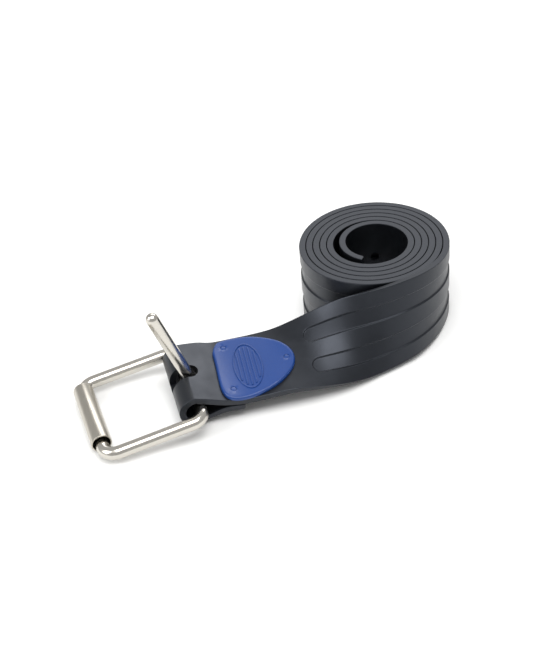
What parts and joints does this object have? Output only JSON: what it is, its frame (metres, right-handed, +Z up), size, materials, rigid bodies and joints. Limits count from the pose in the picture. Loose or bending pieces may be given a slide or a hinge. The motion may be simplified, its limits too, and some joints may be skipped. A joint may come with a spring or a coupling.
{
  "type": "dive weight belt",
  "caption": "Coiled rubber diving weight belt with a wire roller buckle whose tongue pins through the strap's holes.",
  "frame": {"origin": "middle of the whole part's footprint, on the floor it stands on", "axes": "+Z up out of the floor, -X from the coil towards the buckle, the buckle's bars lie along Y"},
  "size_m": [0.2464, 0.122, 0.0692],
  "materials": {
    "strap": "smooth moulded, soft sheen",
    "cover_plate": "moulded satin gloss",
    "plate_pins": "moulded satin",
    "buckle_frame": "tumble-polished stainless wire",
    "roller": "satin drawn tube",
    "tongue": "tumble-polished stainless rod"
  },
  "bodies": {
    "belt": {"strap": "strap", "cover_plate": "cover_plate", "plate_pins": "plate_pins"},
    "buckle": {"buckle_frame": "buckle_frame"},
    "roller": {"roller": "roller"},
    "tongue": {"tongue": "tongue"}
  },
  "joints": [
    {"name": "buckle_swing", "type": "hinge", "parent": "belt", "child": "buckle", "pos_m": [-0.05786, -0.02357, 0.01234], "axis": [0, 1, 0], "range_deg": [0, 11]},
    {"name": "tongue_hinge", "type": "hinge", "parent": "buckle", "child": "tongue", "pos_m": [-0.05786, -0.02357, 0.01234], "axis": [0, 1, 0], "range_deg": [-69, 0]},
    {"name": "roller_spin", "type": "hinge", "parent": "buckle", "child": "roller", "pos_m": [-0.11717, -0.02087, 0.0062], "axis": [0, 1, 0], "continuous": true}
  ]
}
